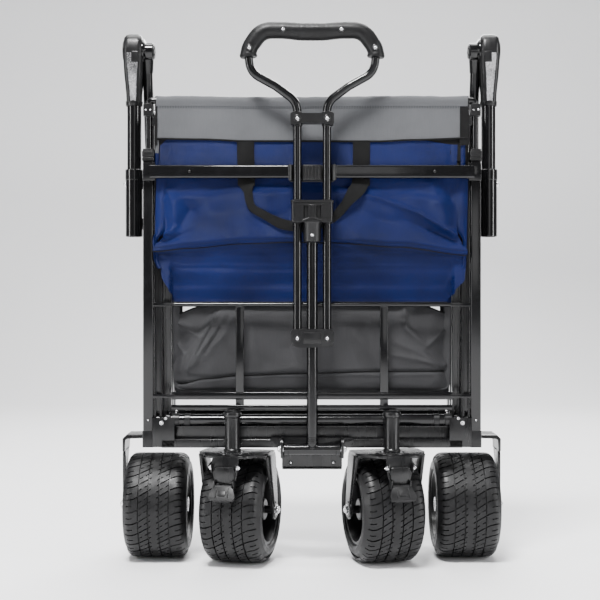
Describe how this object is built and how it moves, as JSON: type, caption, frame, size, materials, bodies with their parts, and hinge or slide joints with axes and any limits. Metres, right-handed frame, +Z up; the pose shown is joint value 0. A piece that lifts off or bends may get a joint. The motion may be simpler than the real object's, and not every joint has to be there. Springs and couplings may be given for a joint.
{
  "type": "folding beach wagon",
  "caption": "Collapsible beach cart shown folded: wide-tyred wheels, scissor side frame, fabric bag, telescoping pull handle and push handle.",
  "frame": {"origin": "on the ground under the middle of the folded cart's box", "axes": "+Z up, -Y towards the pull handle, X across the cart"},
  "size_m": [0.622, 0.2328, 0.841],
  "materials": {
    "black_paint": "gloss black powder coat",
    "satin_paint": "satin black",
    "black_plastic": "fine moulded grain",
    "soft_grip": "soft moulded",
    "tyre_rubber": "matt treaded",
    "bright_steel": "bright zinc",
    "blue_fabric": "coated polyester weave",
    "grey_fabric": "coated polyester weave"
  },
  "bodies": {
    "front_frame": {"front_post_left": "black_paint", "front_post_right": "black_paint", "front_crossbar": "black_paint", "front_base_tube": "black_paint", "front_base_bar": "black_paint", "front_grille": "black_paint", "caster_socket_left": "satin_paint", "caster_socket_right": "satin_paint", "handle_bracket": "satin_paint"},
    "front_top": {"front_top_rail": "black_paint", "bag_front_wall": "blue_fabric", "bag_floor": "grey_fabric"},
    "rear_top": {"rear_top_rail": "black_paint", "bag_rear_wall": "blue_fabric"},
    "rear_frame": {"rear_post_left": "black_paint", "rear_post_right": "black_paint", "rear_crossbar": "black_paint", "rear_base_tube": "black_paint", "rear_fork_left": "satin_paint", "rear_fork_right": "satin_paint"},
    "pull_stem": {"handle_stem": "black_paint", "handle_clamp": "black_plastic"},
    "pull_loop": {"handle_loop": "black_paint", "handle_grip": "soft_grip", "handle_upper_bracket": "black_plastic", "handle_lower_bracket": "black_plastic"},
    "pull_button": {"handle_button": "black_plastic"},
    "push_posts": {"push_post_left": "black_paint", "push_post_right": "black_paint", "push_head_left": "black_plastic", "push_head_right": "black_plastic"},
    "push_bar": {"push_bar": "black_paint"},
    "rising_bar_1_left": {"rising_bar_1_left": "satin_paint"},
    "rising_bar_2_left": {"rising_bar_2_left": "satin_paint"},
    "rising_bar_3_left": {"rising_bar_3_left": "satin_paint"},
    "falling_bar_1_left": {"falling_bar_1_left": "satin_paint"},
    "falling_bar_2_left": {"falling_bar_2_left": "satin_paint"},
    "falling_bar_3_left": {"falling_bar_3_left": "satin_paint"},
    "rising_bar_1_right": {"rising_bar_1_right": "satin_paint"},
    "rising_bar_2_right": {"rising_bar_2_right": "satin_paint"},
    "rising_bar_3_right": {"rising_bar_3_right": "satin_paint"},
    "falling_bar_1_right": {"falling_bar_1_right": "satin_paint"},
    "falling_bar_2_right": {"falling_bar_2_right": "satin_paint"},
    "falling_bar_3_right": {"falling_bar_3_right": "satin_paint"},
    "caster_left": {"caster_fork_left": "satin_paint"},
    "caster_wheel_left": {"caster_tyre_left": "tyre_rubber", "caster_rim_left": "black_plastic"},
    "brake_left": {"brake_pedal_left": "black_plastic"},
    "rear_wheel_left": {"rear_tyre_left": "tyre_rubber", "rear_rim_left": "black_plastic"},
    "snap_left": {"snap_button_left": "bright_steel"},
    "hub_left": {"hub_button_left": "black_plastic"},
    "caster_right": {"caster_fork_right": "satin_paint"},
    "caster_wheel_right": {"caster_tyre_right": "tyre_rubber", "caster_rim_right": "black_plastic"},
    "brake_right": {"brake_pedal_right": "black_plastic"},
    "rear_wheel_right": {"rear_tyre_right": "tyre_rubber", "rear_rim_right": "black_plastic"},
    "snap_right": {"snap_button_right": "bright_steel"},
    "hub_right": {"hub_button_right": "black_plastic"}
  },
  "joints": [
    {"name": "unfold", "type": "slide", "parent": "front_top", "child": "rear_top", "axis": [0, 1, 0], "range_m": [0, 0.56246]},
    {"name": "front_top_drop", "type": "slide", "parent": "front_frame", "child": "front_top", "axis": [0, 0, -1], "range_m": [0, 0.0505]},
    {"name": "rear_top_drop", "type": "slide", "parent": "rear_top", "child": "rear_frame", "axis": [0, 0, 1], "range_m": [0, 0.0505]},
    {"name": "rising_1_left_pivot", "type": "hinge", "parent": "front_frame", "child": "rising_bar_1_left", "pos_m": [0, -0.02426, 0.2245], "axis": [-1, 0, 0], "range_deg": [0, 23.51]},
    {"name": "falling_1_left_pivot", "type": "hinge", "parent": "front_top", "child": "falling_bar_1_left", "pos_m": [0, -0.02426, 0.701], "axis": [1, 0, 0], "range_deg": [0, 23.51]},
    {"name": "rising_2_left_pivot", "type": "hinge", "parent": "falling_bar_1_left", "child": "rising_bar_2_left", "pos_m": [0, 0.00241, 0.2245], "axis": [-1, 0, 0], "range_deg": [0, 46.97]},
    {"name": "falling_2_left_pivot", "type": "hinge", "parent": "rising_bar_1_left", "child": "falling_bar_2_left", "pos_m": [0, 0.00241, 0.701], "axis": [1, 0, 0], "range_deg": [0, 46.97]},
    {"name": "rising_3_left_pivot", "type": "hinge", "parent": "rear_top", "child": "rising_bar_3_left", "pos_m": [0, 0.05574, 0.701], "axis": [-1, 0, 0], "range_deg": [0, 23.51]},
    {"name": "falling_3_left_pivot", "type": "hinge", "parent": "rear_frame", "child": "falling_bar_3_left", "pos_m": [0, 0.05574, 0.2245], "axis": [1, 0, 0], "range_deg": [0, 23.51]},
    {"name": "rising_1_right_pivot", "type": "hinge", "parent": "front_frame", "child": "rising_bar_1_right", "pos_m": [0, -0.02426, 0.2245], "axis": [-1, 0, 0], "range_deg": [0, 23.51]},
    {"name": "falling_1_right_pivot", "type": "hinge", "parent": "front_top", "child": "falling_bar_1_right", "pos_m": [0, -0.02426, 0.701], "axis": [1, 0, 0], "range_deg": [0, 23.51]},
    {"name": "rising_2_right_pivot", "type": "hinge", "parent": "falling_bar_1_right", "child": "rising_bar_2_right", "pos_m": [0, 0.00241, 0.2245], "axis": [-1, 0, 0], "range_deg": [0, 46.97]},
    {"name": "falling_2_right_pivot", "type": "hinge", "parent": "rising_bar_1_right", "child": "falling_bar_2_right", "pos_m": [0, 0.00241, 0.701], "axis": [1, 0, 0], "range_deg": [0, 46.97]},
    {"name": "rising_3_right_pivot", "type": "hinge", "parent": "rear_top", "child": "rising_bar_3_right", "pos_m": [0, 0.05574, 0.701], "axis": [-1, 0, 0], "range_deg": [0, 23.51]},
    {"name": "falling_3_right_pivot", "type": "hinge", "parent": "rear_frame", "child": "falling_bar_3_right", "pos_m": [0, 0.05574, 0.2245], "axis": [1, 0, 0], "range_deg": [0, 23.51]},
    {"name": "pull_swing", "type": "hinge", "parent": "front_frame", "child": "pull_stem", "pos_m": [0, -0.06426, 0.183], "axis": [1, 0, 0], "range_deg": [0, 95]},
    {"name": "pull_extend", "type": "slide", "parent": "pull_stem", "child": "pull_loop", "axis": [0, 0, 1], "range_m": [0, 0.13]},
    {"name": "pull_button_press", "type": "slide", "parent": "pull_stem", "child": "pull_button", "axis": [0, 1, 0], "range_m": [0, 0.0025], "stiffness_N_per_m": 800},
    {"name": "push_extend", "type": "slide", "parent": "rear_frame", "child": "push_posts", "axis": [0, 0, 1], "range_m": [0, 0.07]},
    {"name": "push_turn", "type": "hinge", "parent": "push_posts", "child": "push_bar", "pos_m": [0, 0.06174, 0.814], "axis": [1, 0, 0], "range_deg": [0, 150]},
    {"name": "caster_swivel_left", "type": "hinge", "parent": "front_frame", "child": "caster_left", "pos_m": [-0.122, -0.05226, 0.2], "axis": [0, 0, 1], "range_deg": [-10.5, 17]},
    {"name": "caster_spin_left", "type": "hinge", "parent": "caster_left", "child": "caster_wheel_left", "pos_m": [-0.11075, -0.00354, 0.08268], "axis": [0.9744, -0.225, 0], "continuous": true},
    {"name": "brake_press_left", "type": "hinge", "parent": "caster_left", "child": "brake_left", "pos_m": [-0.13212, -0.09611, 0.13], "axis": [0.9744, -0.225, 0], "range_deg": [0, 12]},
    {"name": "rear_spin_left", "type": "hinge", "parent": "rear_frame", "child": "rear_wheel_left", "pos_m": [-0.244, 0.03374, 0.08268], "axis": [1, 0, 0], "continuous": true},
    {"name": "snap_press_left", "type": "slide", "parent": "rear_frame", "child": "snap_left", "axis": [1, 0, 0], "range_m": [0, 0.003], "stiffness_N_per_m": 500},
    {"name": "hub_press_left", "type": "slide", "parent": "push_bar", "child": "hub_left", "axis": [-1, 0, 0], "range_m": [0, 0.004], "stiffness_N_per_m": 500},
    {"name": "caster_swivel_right", "type": "hinge", "parent": "front_frame", "child": "caster_right", "pos_m": [0.122, -0.05226, 0.2], "axis": [0, 0, 1], "range_deg": [-17, 10.5]},
    {"name": "caster_spin_right", "type": "hinge", "parent": "caster_right", "child": "caster_wheel_right", "pos_m": [0.11075, -0.00354, 0.08268], "axis": [0.9744, 0.225, 0], "continuous": true},
    {"name": "brake_press_right", "type": "hinge", "parent": "caster_right", "child": "brake_right", "pos_m": [0.13212, -0.09611, 0.13], "axis": [0.9744, 0.225, 0], "range_deg": [0, 12]},
    {"name": "rear_spin_right", "type": "hinge", "parent": "rear_frame", "child": "rear_wheel_right", "pos_m": [0.244, 0.03374, 0.08268], "axis": [1, 0, 0], "continuous": true},
    {"name": "snap_press_right", "type": "slide", "parent": "rear_frame", "child": "snap_right", "axis": [-1, 0, 0], "range_m": [0, 0.003], "stiffness_N_per_m": 500},
    {"name": "hub_press_right", "type": "slide", "parent": "push_bar", "child": "hub_right", "axis": [1, 0, 0], "range_m": [0, 0.004], "stiffness_N_per_m": 500}
  ],
  "couplings": [
    {"joint": "front_top_drop", "follows": "unfold", "ratio": 0.088896},
    {"joint": "rear_top_drop", "follows": "unfold", "ratio": 0.088896},
    {"joint": "rising_1_left_pivot", "follows": "unfold", "rad_per_m": 0.72794},
    {"joint": "falling_1_left_pivot", "follows": "unfold", "rad_per_m": 0.72794},
    {"joint": "rising_2_left_pivot", "follows": "unfold", "rad_per_m": 1.4559},
    {"joint": "falling_2_left_pivot", "follows": "unfold", "rad_per_m": 1.4559},
    {"joint": "rising_3_left_pivot", "follows": "unfold", "rad_per_m": 0.72794},
    {"joint": "falling_3_left_pivot", "follows": "unfold", "rad_per_m": 0.72794},
    {"joint": "rising_1_right_pivot", "follows": "unfold", "rad_per_m": 0.72794},
    {"joint": "falling_1_right_pivot", "follows": "unfold", "rad_per_m": 0.72794},
    {"joint": "rising_2_right_pivot", "follows": "unfold", "rad_per_m": 1.4559},
    {"joint": "falling_2_right_pivot", "follows": "unfold", "rad_per_m": 1.4559},
    {"joint": "rising_3_right_pivot", "follows": "unfold", "rad_per_m": 0.72794},
    {"joint": "falling_3_right_pivot", "follows": "unfold", "rad_per_m": 0.72794}
  ]
}
